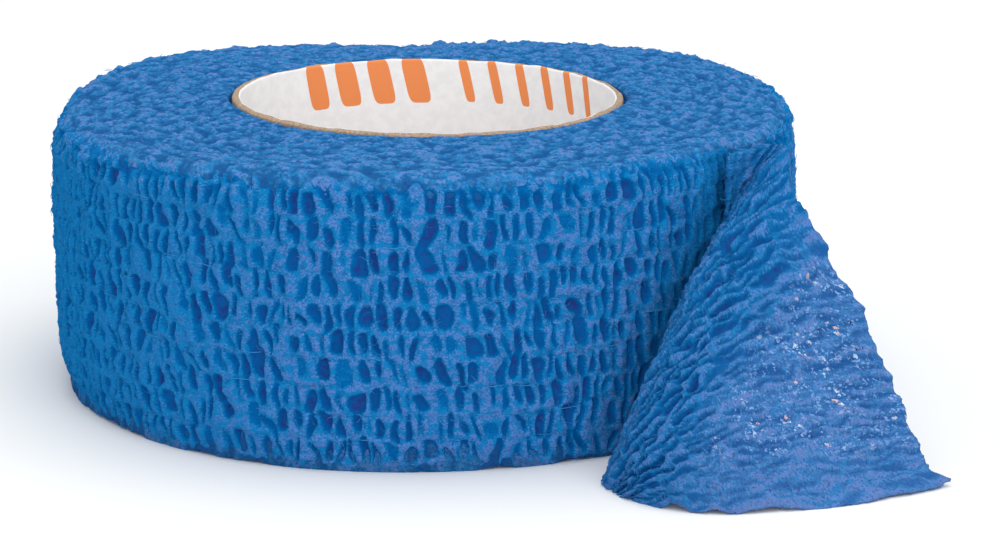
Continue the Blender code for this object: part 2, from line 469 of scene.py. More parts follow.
fine = math_node(fibres, "MULTIPLY", fibres_in.outputs["Grain"], 2.1)
fine_fibres = noise_node(fibres, combine.outputs[0], fine, 1.0, 0.5)
coarse_nap = math_node(fibres, "MULTIPLY", fleck, 0.7)
fine_nap = math_node(fibres, "MULTIPLY", fine_fibres, 0.3)
nap_height = math_node(fibres, "ADD", coarse_nap, fine_nap)
fibres.links.new(fleck, fibres_out.inputs["Fleck"])
fibres.links.new(streak, fibres_out.inputs["Streak"])
fibres.links.new(nap_height, fibres_out.inputs["Height"])
print("group", fibres.name, "with", len(fibres.nodes), "nodes")

# %% The colour group: tones, painted shade and painted highlights
# FLANK_BLUE, PIT_BLUE and HEART_VIOLET darken the web by pit depth: painted shade in the pits. LILAC is
# painted sheen on the crowns; CYAN is tone in patches and a painted highlight round each pit.
CROWN_BLUE = (0.005, 0.158, 0.425, 1.0)
FLANK_BLUE = (0.003, 0.138, 0.395, 1.0)
PIT_BLUE = (0.001, 0.106, 0.345, 1.0)
HEART_VIOLET = (0.018, 0.054, 0.256, 1.0)
LILAC = (0.112, 0.206, 0.530, 1.0)
CYAN = (0.006, 0.215, 0.505, 1.0)
PALE_FLECK = (0.045, 0.285, 0.600, 1.0)
DARK_FLECK = (0.020, 0.068, 0.290, 1.0)
web_colour, web_colour_in, web_colour_out = new_group(
    "web_tones_and_painted_light",
    [
        ("Hollow", FLOAT, 0.0),
        ("Fleck", FLOAT, 0.5),
        ("Streak", FLOAT, 0.5),
        ("Crown", COLOUR, CROWN_BLUE),
        ("Flank", COLOUR, FLANK_BLUE),
        ("Pit", COLOUR, PIT_BLUE),
        ("Heart", COLOUR, HEART_VIOLET),
        ("Lilac Sheen Share", FLOAT, 0.5),
        ("Cyan Share", FLOAT, 0.5),
    ],
    [("Colour", COLOUR, None)],
)
fleck_lift = math_node(web_colour, "SUBTRACT", web_colour_in.outputs["Fleck"], 0.5)
ragged = math_node(web_colour, "SUBTRACT", web_colour_in.outputs["Hollow"], fleck_lift)
# painted shade: the colour darkens from crown to flank, pit and heart as the web lies deeper in a pit
to_flank = map_range(web_colour, ragged, 0.10, 0.28)
to_pit = map_range(web_colour, ragged, 0.36, 0.58)
violet_patches = map_range(web_colour, web_colour_in.outputs["Streak"], 0.45, 0.58, 0.20, 1.0)
to_heart = math_node(web_colour, "MULTIPLY", map_range(web_colour, ragged, 0.68, 0.92), violet_patches)
on_crown = math_node(web_colour, "SUBTRACT", 1.0, to_flank)
off_pit = math_node(web_colour, "SUBTRACT", 1.0, to_pit)
# painted highlight: a lighter cyan band round the rim of each pit; cyan_patches add cyan tone in patches
past_rim = map_range(web_colour, ragged, 0.24, 0.40, 1.0, 0.0)
pit_rim_highlight = math_node(web_colour, "MULTIPLY", map_range(web_colour, ragged, 0.02, 0.14), past_rim)
colour = mix_colours(web_colour, to_flank, web_colour_in.outputs["Crown"], web_colour_in.outputs["Flank"])
colour = mix_colours(web_colour, to_pit, colour, web_colour_in.outputs["Pit"])
colour = mix_colours(web_colour, to_heart, colour, web_colour_in.outputs["Heart"])
cyan_patches = map_range(web_colour, web_colour_in.outputs["Streak"], 0.50, 0.36)
cyan_places = math_node(web_colour, "MAXIMUM", cyan_patches, math_node(web_colour, "MULTIPLY", pit_rim_highlight, 0.95))
cyan_share = math_node(web_colour, "MULTIPLY", cyan_places, web_colour_in.outputs["Cyan Share"])
colour = mix_colours(web_colour, math_node(web_colour, "MULTIPLY", cyan_share, off_pit), colour, CYAN)
# painted sheen: lilac on the crowns, scaled by each point's share of painted sheen
lilac_patches = map_range(web_colour, web_colour_in.outputs["Streak"], 0.42, 0.54)
lilac_depth = map_range(web_colour, web_colour_in.outputs["Fleck"], 0.44, 0.62, 0.40, 1.0)
lilac_spots = math_node(web_colour, "MULTIPLY", lilac_depth, lilac_patches)
lilac_sheen_share = math_node(web_colour, "MULTIPLY", lilac_spots, web_colour_in.outputs["Lilac Sheen Share"])
colour = mix_colours(web_colour, math_node(web_colour, "MULTIPLY", lilac_sheen_share, on_crown), colour, LILAC)
dark_flecks = map_range(web_colour, web_colour_in.outputs["Fleck"], 0.45, 0.34, 0.0, 0.75)
colour = mix_colours(web_colour, math_node(web_colour, "MULTIPLY", dark_flecks, off_pit), colour, DARK_FLECK)
pale_flecks = map_range(web_colour, web_colour_in.outputs["Fleck"], 0.57, 0.68, 0.0, 0.65)
colour = mix_colours(web_colour, math_node(web_colour, "MULTIPLY", pale_flecks, on_crown), colour, PALE_FLECK)
web_colour.links.new(colour, web_colour_out.inputs["Colour"])
print("group", web_colour.name, "with", len(web_colour.nodes), "nodes")

# %% [markdown]
# ## The bandage's finishes
#
# Each finish is one Principled shader with the two groups in front of it. A web
# of fibres has hardly any gloss, so roughness is near 1 and the specular level is
# low; a little sheen stands for the fuzz that catches light at the edges. The
# finishes of the side and of the top, where the cut edges show, differ only in
# their numbers.

# %% Mix a bandage finish
# a set of tones: the flank, pit and heart stops are painted shade, and lilac is the share of painted sheen
WebTones = namedtuple("WebTones", "crown flank pit heart lilac cyan")


def bandage_finish(name, grain, patch, stretch, tones, bump):
    """A material of dyed, felted web with painted shade and sheen, and its node of the colour group."""
    material = bpy.data.materials.new(name)
    material.use_nodes = True
    tree = material.node_tree
    shader = tree.nodes["Principled BSDF"]
    cloth = attribute_node(tree, "cloth")
    hollow = attribute_node(tree, "hollow")
    fuzzed = attribute_node(tree, "fuzzed")
    fibre = tree.nodes.new("ShaderNodeGroup")
    fibre.node_tree = fibres
    web = tree.nodes.new("ShaderNodeGroup")
    web.node_tree = web_colour
    nap = tree.nodes.new("ShaderNodeBump")
    settings = (
        (fibre, "Grain", grain),
        (fibre, "Patch", patch),
        (fibre, "Stretch", stretch),
        (web, "Crown", tones.crown),
        (web, "Flank", tones.flank),
        (web, "Pit", tones.pit),
        (web, "Heart", tones.heart),
        (web, "Cyan Share", tones.cyan),
        (nap, "Distance", bump * MM),
        (nap, "Strength", 1.0),
        (shader, "Roughness", 0.95),
        (shader, "Specular IOR Level", 0.0),
        (shader, "Sheen Weight", 0.02),
        (shader, "Sheen Roughness", 0.5),
        (shader, "Sheen Tint", (0.45, 0.65, 1.0, 1.0)),
    )
    for node, socket, value in settings:
        node.inputs[socket].default_value = value
    # painted sheen: the point's share of lilac sheen, times this finish's lilac
    lilac = math_node(tree, "MULTIPLY", fuzzed.outputs["Fac"], tones.lilac)
    links = (
        (cloth.outputs["Vector"], fibre.inputs["Cloth"]),
        (hollow.outputs["Fac"], web.inputs["Hollow"]),
        (lilac, web.inputs["Lilac Sheen Share"]),
        (fibre.outputs["Fleck"], web.inputs["Fleck"]),
        (fibre.outputs["Streak"], web.inputs["Streak"]),
        (fibre.outputs["Height"], nap.inputs["Height"]),
        (web.outputs["Colour"], shader.inputs["Base Color"]),
        (nap.outputs["Normal"], shader.inputs["Normal"]),
    )
    for source, target in links:
        tree.links.new(source, target)
    return material, web


SIDE_TONES = WebTones(CROWN_BLUE, FLANK_BLUE, PIT_BLUE, HEART_VIOLET, 1.0, 0.60)
side_finish, _ = bandage_finish("bandage_side", 6.2, 1.6, 0.8, SIDE_TONES, 0.12)
TOP_TONES = WebTones(
    (0.068, 0.184, 0.412, 1.0), (0.032, 0.146, 0.364, 1.0),
    (0.012, 0.104, 0.308, 1.0), (0.014, 0.068, 0.250, 1.0), 1.0, 0.60)
top_finish, _ = bandage_finish("bandage_top", 3.0, 1.9, 1.0, TOP_TONES, 0.16)
print("bandage finishes:", side_finish.name, top_finish.name)

# %% [markdown]
# The loose end needs more. Where it is pulled nearly flat, the web is thin and
# paler, and bright specks show in it: painted glints of light where the web is
# stretched thin. The points of its mesh say in two attributes how far it is
# pulled and how many glints it shows. The finish mixes a second set of tones by
# the first, and lets specks show by the second.

# %% Mix the loose end's finish
PULLED_TONES = {
    "Crown": (0.112, 0.174, 0.396, 1.0),
    "Flank": (0.050, 0.138, 0.362, 1.0),
    "Pit": (0.020, 0.104, 0.322, 1.0),
}
SPECK_PALE = (0.210, 0.360, 0.670, 1.0)
SPECK_WHITE = (0.600, 0.720, 0.900, 1.0)
SPECK_PEACH = (0.700, 0.480, 0.450, 1.0)
LOOSE_TONES = WebTones(
    (0.026, 0.144, 0.378, 1.0), (0.009, 0.118, 0.336, 1.0),
    (0.003, 0.098, 0.314, 1.0), HEART_VIOLET, 0.75, 0.45)

loose_finish, loose_web = bandage_finish("bandage_loose", 6.2, 1.6, 0.9, LOOSE_TONES, 0.12)
loose_tree = loose_finish.node_tree
how_pulled = attribute_node(loose_tree, "pulled").outputs["Fac"]
how_crumbed = attribute_node(loose_tree, "crumbed").outputs["Fac"]
loose_place = attribute_node(loose_tree, "cloth").outputs["Vector"]
for stop, pulled_tone in PULLED_TONES.items():
    slack_tone = getattr(LOOSE_TONES, stop.lower())
    mixed = mix_colours(loose_tree, how_pulled, slack_tone, pulled_tone)
    loose_tree.links.new(mixed, loose_web.inputs[stop])
clusters = noise_node(loose_tree, loose_place, 0.50, 2.0, 0.6)
crumbed = map_range(loose_tree, how_crumbed, 0.46, 1.0)
shaking = loose_tree.nodes.new("ShaderNodeTexNoise")
shaking.inputs["Scale"].default_value = 7.0
shaking.inputs["Detail"].default_value = 1.0
loose_tree.links.new(loose_place, shaking.inputs["Vector"])
uneven_place = loose_tree.nodes.new("ShaderNodeVectorMath")
uneven_place.operation = "MULTIPLY_ADD"
loose_tree.links.new(shaking.outputs["Color"], uneven_place.inputs[0])
uneven_place.inputs[1].default_value = (0.35, 0.35, 0.35)
loose_tree.links.new(loose_place, uneven_place.inputs[2])


def glints(scale, biggest, crowded):
    """Uneven painted glints, 1 inside each, up to `biggest` cells wide, where it is crowded."""
    cells = loose_tree.nodes.new("ShaderNodeTexVoronoi")
    loose_tree.links.new(uneven_place.outputs["Vector"], cells.inputs["Vector"])
    cells.inputs["Scale"].default_value = scale
    chances = loose_tree.nodes.new("ShaderNodeSeparateColor")
    loose_tree.links.new(cells.outputs["Color"], chances.inputs[0])
    reach = math_node(loose_tree, "MULTIPLY", chances.outputs[0], biggest)
    inside = math_node(loose_tree, "SUBTRACT", reach, cells.outputs["Distance"])
    dots = map_range(loose_tree, inside, 0.0, 0.10)
    places = math_node(loose_tree, "MULTIPLY", map_range(loose_tree, clusters, *crowded), crumbed)
    return math_node(loose_tree, "MULTIPLY", dots, places)


# painted glints: faint pale dots and bright white and peach specks where the web is stretched
faint_glints = glints(4.2, 0.56, (0.34, 0.56))
specks = glints(2.5, 0.48, (0.50, 0.63))
warm_places = noise_node(loose_tree, loose_place, 0.8, 1.0, 0.5)
speck_colour = mix_colours(
    loose_tree, map_range(loose_tree, warm_places, 0.50, 0.58), SPECK_WHITE, SPECK_PEACH)
loose_colour = mix_colours(loose_tree, faint_glints, loose_web.outputs["Colour"], SPECK_PALE)
loose_colour = mix_colours(loose_tree, specks, loose_colour, speck_colour)
loose_tree.links.new(loose_colour, loose_tree.nodes["Principled BSDF"].inputs["Base Color"])
print("loose end's finish:", loose_finish.name, "with", len(loose_tree.nodes), "nodes")

# %% [markdown]
# ## The outermost turn
#
# This is the crinkled face that the photograph is mostly of. Its form is a
# profile, from under the lower rim up the side and over the upper rim, swept
# round an outline that isn't quite round, because soft turns settle. The Screw
# modifier sweeps a profile too, but only round a true circle. So the sweep is
# computed: a table says how far out the side stands at some bearings, counted
# from the line where the strip leaves the roll, how high its rim is, and how far
# the turn tucks in at its foot.

# %% Outline and profile
PEEL_BEARING = -32.9
Outline = namedtuple("Outline", "sweep radius rim tuck")
OUTLINE = (
    Outline(0, 32.8, 24.3, 0.0),
    Outline(30, 32.8, 24.4, 0.0),
    Outline(60, 33.2, 24.7, 0.0),
    Outline(83, 33.6, 24.6, 0.0),
    Outline(108, 33.0, 24.3, 0.0),
    Outline(130, 32.0, 24.0, 0.0),
    Outline(150, 32.6, 24.35, 0.0),
    Outline(170, 33.8, 24.75, 0.1),
    Outline(190, 33.7, 24.5, 0.4),
    Outline(215, 32.7, 23.8, 0.9),
    Outline(245, 32.7, 24.1, 0.5),
    Outline(280, 33.0, 24.5, 0.0),
    Outline(310, 32.5, 24.5, 0.3),
    Outline(340, 32.0, 24.5, 0.0),
    Outline(360, 31.6, 24.4, 0.0),
    Outline(366, 31.5, 24.4, 0.0),
)
Profile = namedtuple("Profile", "inset height")
PROFILE_RIM = 24.4             # the rim that the profile is drawn for
PROFILE = (
    Profile(2.6, 0.00),
    Profile(1.5, 0.02),
    Profile(0.70, 0.50),
    Profile(0.26, 1.75),
    Profile(0.06, 4.0),
    Profile(-0.06, 7.0),
    Profile(-0.12, 12.3),
    Profile(-0.06, 17.6),
    Profile(0.02, 20.4),
    Profile(0.24, 22.8),
    Profile(0.80, 24.02),
    Profile(1.60, 24.25),
    Profile(2.50, 23.95),
)
ROW_STEP = 0.205
TUCK_HEIGHT = 3.0


def resampled(points, step):
    """A smooth line through the points, as points one step apart."""
    points = np.asarray(points, float)
    legs = np.linalg.norm(np.diff(points, axis=0), axis=1)
    at = np.concatenate([[0], np.cumsum(legs)])
    fine = np.linspace(0, at[-1], 2000)
    line = np.stack([through(at, points[:, c], fine) for c in range(points.shape[1])], 1)
    length = np.concatenate([[0], np.cumsum(np.linalg.norm(np.diff(line, axis=0), axis=1))])
    stops = np.linspace(0, length[-1], int(round(length[-1] / step)) + 1)
    return np.stack([np.interp(stops, length, line[:, c]) for c in range(line.shape[1])], 1)


profile = resampled(PROFILE, ROW_STEP)
print("the profile has", len(profile), "rows")

# %% [markdown]
# The crinkle itself follows the making of the cloth. Ten rows of pits lie
# between the elastic threads. Weak rows round the two rims let the ridges run
# out softly. On top of that come the lumps of the web: some wide and low, some
# as small as a tuft of fibres.

# %% Press the crinkle into the side
TURN_COLUMNS = 1240
MEAN_RADIUS = 32.8
COLUMN_STEP = math.tau * MEAN_RADIUS / TURN_COLUMNS
TURN_LENGTH = TURN_COLUMNS * COLUMN_STEP
THREAD_PITCH = 2.33
FIRST_ROW_HEIGHT = 1.65
PIT_ROWS = 10
PIT_DEPTH = 0.68
OUTLINE_WANDER = 0.16
WEAK_ROWS = ((0, -1.7, 0.45), (-1, 1.75, 0.62), (-1, 3.2, 0.40))   # by which row, how far up, depth
SIDE_DIMPLES = 1500

turn_shape = (len(profile), TURN_COLUMNS)
turn_step = (ROW_STEP, COLUMN_STEP)
side_rows = slice(10, len(profile) - 14)
run_up = np.arange(len(profile)) * ROW_STEP
row_places = np.interp(
    FIRST_ROW_HEIGHT + THREAD_PITCH * np.arange(PIT_ROWS),
    profile[side_rows, 1],
    run_up[side_rows],
)
row_random = np.random.default_rng(11)
turn_pits = []
for place in row_places:
    turn_pits += row_of_pits(place, TURN_LENGTH, 1.0, row_random)
for beside, off, depth in WEAK_ROWS:
    turn_pits += row_of_pits(row_places[beside] + off, TURN_LENGTH, depth, row_random)
dimpled = (row_places[0] - 1, row_places[-1] + 1)
turn_pits += dimples(SIDE_DIMPLES, dimpled, TURN_LENGTH, row_random)
turn_hollow = press(turn_shape, turn_step, turn_pits, OUTLINE_WANDER, 24)
print(len(turn_pits), "pits round the side")

# %% Add the ridges' crowns and the fibres' lumps
RIDGE_CROWN = 0.13
THREAD_PINCH = 0.19
THREAD_WIDTH = 0.24            # how far from a thread it still draws the web in
THREAD_SAG = 0.22
NEAR_REACH = (0.25, 0.25)      # up and along: how far round it a pit draws the web in
PIT_SHARE = 0.72               # of the depth, the pit's own and that of the pits nearby
NEAR_SHARE = 0.28
RIM_BAND = (4.6, 2.6)          # before the profile's end: where the rim begins and is full
RIM_CRINKLE = 0.085
Lumps = namedtuple("Lumps", "tall size seed calmed")   # calmed: how much less in a pit
SIDE_LUMPS = (
    Lumps(0.10, (3.0, 4.0), 21, 0.0),        # where the turns have settled
    Lumps(0.07, (0.75, 0.55), 25, 0.5),      # swells of the ridges
    Lumps(0.055, (0.24, 0.17), 22, 0.6),     # tufts
    Lumps(0.034, (0.11, 0.09), 23, 0.7),     # fibres
)

near_pits = blurred(turn_hollow, turn_step, NEAR_REACH)
threads = row_places[None, :] + THREAD_PITCH / 2
sag = THREAD_SAG * lumps(turn_shape, turn_step, (0.3, 3.0), 26)
from_thread = np.min(np.abs(run_up[:, None, None] + sag[..., None] - threads[None]), axis=2)
pinch = np.exp(-(from_thread / THREAD_WIDTH) ** 2)
turn_relief = -PIT_DEPTH * (PIT_SHARE * turn_hollow + NEAR_SHARE * near_pits)
turn_relief += RIDGE_CROWN * (1 - near_pits)
turn_relief -= THREAD_PINCH * pinch * (1 - 0.6 * turn_hollow)
for kind in SIDE_LUMPS:
    swelling = kind.tall * lumps(turn_shape, turn_step, kind.size, kind.seed)
    turn_relief += swelling * (1 - kind.calmed * turn_hollow)
on_rim = smooth_step(run_up[-1] - RIM_BAND[0], run_up[-1] - RIM_BAND[1], run_up)[:, None]
rim_lumps = lumps(turn_shape, turn_step, (0.28, 0.42), 27)
turn_relief += RIM_CRINKLE * rim_lumps * on_rim
# turn_depth sets the side's colour: painted shade in the pits, round them, in the threads' pinched grooves
# and in the rim's low spots
turn_depth = np.clip(0.72 * turn_hollow + 0.34 * near_pits + 0.12 * pinch, 0, 1)
turn_depth = np.maximum(turn_depth, on_rim * np.clip(0.24 - 0.25 * rim_lumps, 0, 0.9))
print(f"relief from {turn_relief.min():.2f} to {turn_relief.max():.2f} mm")

# %% [markdown]
# The sweep is cut into a back part and a front part, so that each is a mesh of a
# handy size. The cut lies at the far left, and the other end of both parts is
# the line where the strip peels off, which is a real edge.

# %% Sweep the profile round the roll
WALL_THICKNESS = 1.6
UNDER_COLUMNS = 14             # the turn runs on a little under the peeled strip
CREASE_FOOT = 330              # sweep of the crease beside the loose end, at the table
CREASE_SLANT = 1.05            # and how much it grows for each millimetre up
CREASE_CALM = 0.55             # share of the relief that is drawn out of the web there
# painted sheen: lilac share on the crowns at sweeps from the peel line, high where the side faces the
# lamps, none on the shaded left
SHEEN_SWEEPS = (0, 140, 185, 240, 268, 290, 335, 362)
SHEEN_SHARES = (0.80, 0.60, 0.0, 0.0, 0.30, 1.0, 0.90, 0.30)


def outline_at(sweep, column):
    """The side's radius, rim or tuck at bearings given as sweeps from the peel line."""
    known = [getattr(row, column) for row in OUTLINE]
    return through([row.sweep for row in OUTLINE], known, sweep)


def swept(columns):
    """Points, pit depth, cloth place and painted sheen share of the crinkled side at those columns."""
    sweep = columns * 360.0 / TURN_COLUMNS
    radius = outline_at(sweep, "radius")[None, :]
    rim = outline_at(sweep, "rim")[None, :]
    bearing = np.radians(PEEL_BEARING + sweep)[None, :]
    tangent = np.gradient(profile, ROW_STEP, axis=0)
    wrapped = columns % TURN_COLUMNS
    crease = CREASE_FOOT + CREASE_SLANT * profile[:, 1:]
    calm = CREASE_CALM * smooth_step(crease - 6, crease - 1, sweep[None, :])
    relief = turn_relief[:, wrapped] * (1 - calm)
    tuck = outline_at(sweep, "tuck")[None, :]
    tucked = tuck * np.exp(-(profile[:, 1:] / TUCK_HEIGHT) ** 2)
    out = radius - profile[:, :1] - tucked + relief * tangent[:, 1:]
    height = profile[:, 1:] * rim / PROFILE_RIM + relief * tangent[:, :1]
    height = np.maximum(height, 0.0)
    points = np.stack([out * np.cos(bearing), out * np.sin(bearing), height], axis=-1)
    cloth = np.zeros_like(points)
    cloth[..., 0] = columns[None, :] * COLUMN_STEP
    cloth[..., 1] = run_up[:, None]
    # painted sheen by bearing, and much of it on the upper rim, which faces up to the light
    fuzzed = np.interp(sweep, SHEEN_SWEEPS, SHEEN_SHARES)[None, :] + np.zeros((len(profile), 1))
    fuzzed = np.maximum(fuzzed, 0.9 * on_rim)
    return points, turn_depth[:, wrapped], cloth, fuzzed


def closed_sector(name, first, last):
    """The side between two columns, closed by a plain wall behind it."""
    columns = np.arange(first, last + 1)
    points, depth, cloth, fuzzed = swept(columns)
    rows, count = depth.shape
    flat = points.reshape(-1, 3)
    direction = points[rows // 2] / np.linalg.norm(points[rows // 2, :, :2], axis=1)[:, None]
    wall = []
    for row in (0, rows - 1):
        ring = points[row].copy()
        ring[:, :2] -= direction[:, :2] * WALL_THICKNESS
        ring[:, 2] += WALL_THICKNESS if row == 0 else -WALL_THICKNESS
        wall.append(ring)
    every_point = np.concatenate([flat, wall[0], wall[1]])
    low = rows * count
    high = low + count
    top_row = (rows - 1) * count
    faces = [tuple(face) for face in quads(rows, count)]
    for c in range(count - 1):
        faces.append((c, c + 1, low + c + 1, low + c))
        faces.append((top_row + c, top_row + c + 1, high + c + 1, high + c))
        faces.append((low + c, low + c + 1, high + c + 1, high + c))
    for c in (0, count - 1):
        middle = rows // 2
        fan = [row * count + c for row in range(rows)]
        for row in range(rows - 1):
            hinge = low + c if row < middle else high + c
            faces.append((fan[row], fan[row + 1], hinge))
        faces.append((low + c, fan[middle], high + c))
    every_depth = np.concatenate([depth.ravel(), np.full(2 * count, 0.6)])
    every_cloth = np.concatenate([cloth.reshape(-1, 3), cloth[0], cloth[-1]])
    every_sheen = np.concatenate([fuzzed.ravel(), fuzzed[0], fuzzed[-1]])
    return make_piece(
        name, every_point, faces, [side_finish], every_depth, every_cloth,
        "wound_roll", "bandage", fuzzed=every_sheen,
    )


half_turn = TURN_COLUMNS // 2
closed_sector("outer_turn_back", 0, half_turn)
front_turn = closed_sector("outer_turn_front", half_turn, TURN_COLUMNS + UNDER_COLUMNS)

# %% [markdown]
# ## The turns inside
#
# Seen from above, a roll shows the edges of about thirty turns. Each edge is
# crinkled, so the turns look like rings of felt and not like a record's groove.
# A bump map could draw them, but at this low camera the rim shows their real
# height. So the face is a polar grid: a spiral of soft ridges, one for each
# turn, whose line and height wander with the crinkle.

# %% Relief of the turns' edges
RING_COLUMNS = 660
TOP_RINGS = 98
FOOT_RINGS = 32
TURN_PITCH = 0.52
SPIRAL_RIDGE = 0.05
EDGE_CRINKLE = 0.085
EDGE_TUFTS = 0.055
BORE_GAP = 0.25
BORE_RADIUS = CORE_RADIUS + BORE_GAP
CROWN_HEIGHT = CORE_HEIGHT + 0.12
BORE_SHIFT = 0.35             # the tube sits a little off the roll's middle
FACE_INSET = 0.90
ring_sweeps = np.arange(RING_COLUMNS) * 360.0 / RING_COLUMNS
ring_bearings = PEEL_BEARING + ring_sweeps


def face_relief(rings, seed):
    """Heights of the turns' edges over a polar grid, and how hollow each spot is."""
    share = np.linspace(0, 1, rings)[:, None]
    edge = outline_at(ring_sweeps, "radius")[None, :] - FACE_INSET
    radius = BORE_RADIUS + (edge - BORE_RADIUS) * share
    shape = radius.shape
    step = ((edge.mean() - BORE_RADIUS) / rings, math.tau * 25 / RING_COLUMNS)
    wander = 0.16 * lumps(shape, step, (0.45, 0.50), seed)
    turn = (edge - radius + wander) / TURN_PITCH + ring_sweeps[None, :] / 360.0
    ridge = np.abs(np.sin(np.pi * turn)) ** 0.8
    relief = SPIRAL_RIDGE * ridge
    relief += EDGE_CRINKLE * lumps(shape, step, (0.28, 0.42), seed + 1)
    relief += EDGE_TUFTS * lumps(shape, step, (0.12, 0.15), seed + 2)
    relief += 0.08 * lumps(shape, step, (1.6, 3.0), seed + 3)
    # the hollow is painted shade in the finish: low spots between the turns' edges are coloured darker
    spread = relief - blurred(relief, step, (0.8, 1.2))
    hollow = np.clip(0.36 - spread / 0.34, 0, 1)
    return radius, share, relief, hollow


top_radius, top_share, top_relief, top_hollow = face_relief(TOP_RINGS, 41)
foot_radius, foot_share, foot_relief, foot_hollow = face_relief(FOOT_RINGS, 51)
print(f"turns' edges rise and fall by {np.ptp(top_relief):.2f} mm")

# %% Build the wound turns as one tyre-shaped body
TOP_BULGE = 0.10
RIM_DROP = 0.45
BORE_SWELLS = ((-162, 0.50, 20), (-20, 0.30, 18))   # bearing, height and width
BORE_SLOPE = 0.45              # the turns slope down to the tube by this much
FOOT_LIFT = 0.06               # a foot's high spots stand on the table


def polar_points(radius, height):
    """Points of a polar grid, columns counted from the peel line."""
    bearing = np.radians(ring_bearings)
    east = radius * np.cos(bearing)
    return np.stack([east, radius * np.sin(bearing), height + 0 * radius], axis=-1)


rim_height = outline_at(ring_sweeps, "rim")[None, :]
edge_fade = 0.15 + 0.85 * smooth_step(0.0, 0.16, top_share)
edge_fade = edge_fade * (1 - 0.7 * smooth_step(0.97, 1.0, top_share))
top_height = CROWN_HEIGHT + (rim_height + 0.10 - CROWN_HEIGHT) * top_share
top_height = top_height + TOP_BULGE * 4 * top_share * (1 - top_share) + top_relief * edge_fade
top_height = top_height - RIM_DROP * smooth_step(0.92, 1.0, top_share) ** 2
for bearing, lift, width in BORE_SWELLS:
    away = (ring_bearings - bearing + 180) % 360 - 180
    swell = lift * np.exp(-(away / width) ** 2)[None, :]
    top_height = top_height + swell * np.exp(-top_share / 0.18)
bore_slope = -BORE_SLOPE * (1 - smooth_step(0.0, 0.03, top_share))
top_points = polar_points(top_radius, top_height + bore_slope)
top_points[..., 0] += BORE_SHIFT * (1 - top_share)
foot_height = np.maximum(FOOT_LIFT - foot_relief, 0.0) * smooth_step(0.0, 0.08, foot_share)
foot_points = polar_points(foot_radius, foot_height)
hidden_wall = polar_points(top_radius[-1:] - 0.3, np.full((1, 1), 12.0))
rings = np.concatenate([foot_points[::-1], top_points, hidden_wall])
# painted shade: the innermost ring takes the darkest colour, for the shade in the gap beside the tube
top_hollow[0] = foot_hollow[0] = 1.0      # the dark seam beside the tube
ring_hollow = np.concatenate([foot_hollow[::-1], top_hollow, np.full((1, RING_COLUMNS), 0.5)])
count = len(rings)
ring_faces = list(map(tuple, quads(count, RING_COLUMNS, ring=True)))
last_ring = (count - 1) * RING_COLUMNS
for c in range(RING_COLUMNS):
    beside = (c + 1) % RING_COLUMNS
    ring_faces.append((last_ring + c, last_ring + beside, beside, c))
make_piece(
    "inner_turns", rings.reshape(-1, 3), ring_faces, [top_finish], ring_hollow,
    rings.reshape(-1, 3), "wound_roll", "bandage", fuzzed=np.ones(ring_hollow.shape),
)

# %% [markdown]
# ## The loose end
#
# The free end keeps its crinkle near the roll and is pulled nearly flat towards
# its corner, where light shows through open pores. A cloth simulation could drop
# a strip on the floor, but it would not fall as this one did. So its fall is a
# table of sections from the roll to the cut end, each a smooth arch from the
# edge on the table over the middle to the edge that has fallen outwards.

# %% Sections of the loose end
Section = namedtuple("Section", "run foot_x foot_y crown_x crown_y crown_z tip_x tip_y tip_z")
SECTIONS = (
    Section(-0.09, 28.0, -16.6, 28.0, -16.7, 12.2, 27.8, -16.8, 24.0),
    Section(0.00, 26.4, -19.1, 26.1, -19.8, 12.3, 25.9, -20.2, 24.35),
    Section(0.05, 25.6, -20.6, 25.1, -21.2, 12.6, 26.3, -20.1, 24.35),
    Section(0.10, 24.8, -21.8, 24.5, -22.4, 13.2, 29.0, -17.0, 24.25),
    Section(0.16, 23.8, -23.2, 23.8, -23.7, 13.9, 30.4, -15.5, 24.0),
    Section(0.23, 22.6, -24.9, 23.1, -25.4, 14.3, 31.1, -17.0, 23.8),
    Section(0.30, 21.2, -26.6, 22.5, -27.0, 14.4, 30.8, -20.2, 22.4),
    Section(0.46, 18.2, -30.4, 21.9, -30.9, 13.4, 32.6, -27.3, 19.2),
    Section(0.60, 15.9, -33.0, 22.3, -33.6, 11.6, 35.3, -29.6, 15.2),
    Section(0.74, 15.3, -35.0, 22.9, -36.3, 9.2, 37.2, -30.4, 10.8),
    Section(0.87, 16.0, -37.2, 24.5, -39.6, 5.9, 39.6, -31.6, 5.6),
    Section(0.95, 17.1, -38.9, 25.9, -41.8, 2.8, 41.1, -33.2, 1.9),
    Section(0.975, 17.8, -39.5, 26.4, -42.4, 1.4, 41.8, -34.2, 0.9),
    Section(1.00, 18.7, -40.0, 26.9, -42.8, 0.4, 43.9, -35.4, 0.3),
)


def fall(run, across):
    """Middle surface of the loose end over a grid of run and across."""
    runs = [row.run for row in SECTIONS]
    column = {
        name: through(runs, [getattr(row, name) for row in SECTIONS], run)[None, :]
        for name in Section._fields[1:]
    }
    column["foot_z"] = 0 * column["foot_x"]
    foot, crown, tip = (
        np.stack([column[line + axis] for axis in ("_x", "_y", "_z")], axis=-1)
        for line in ("foot", "crown", "tip"))
    pull = 2 * crown - (foot + tip) / 2
    t = across[:, None, None]
    return foot * (1 - t) ** 2 + pull * 2 * t * (1 - t) + tip * t ** 2


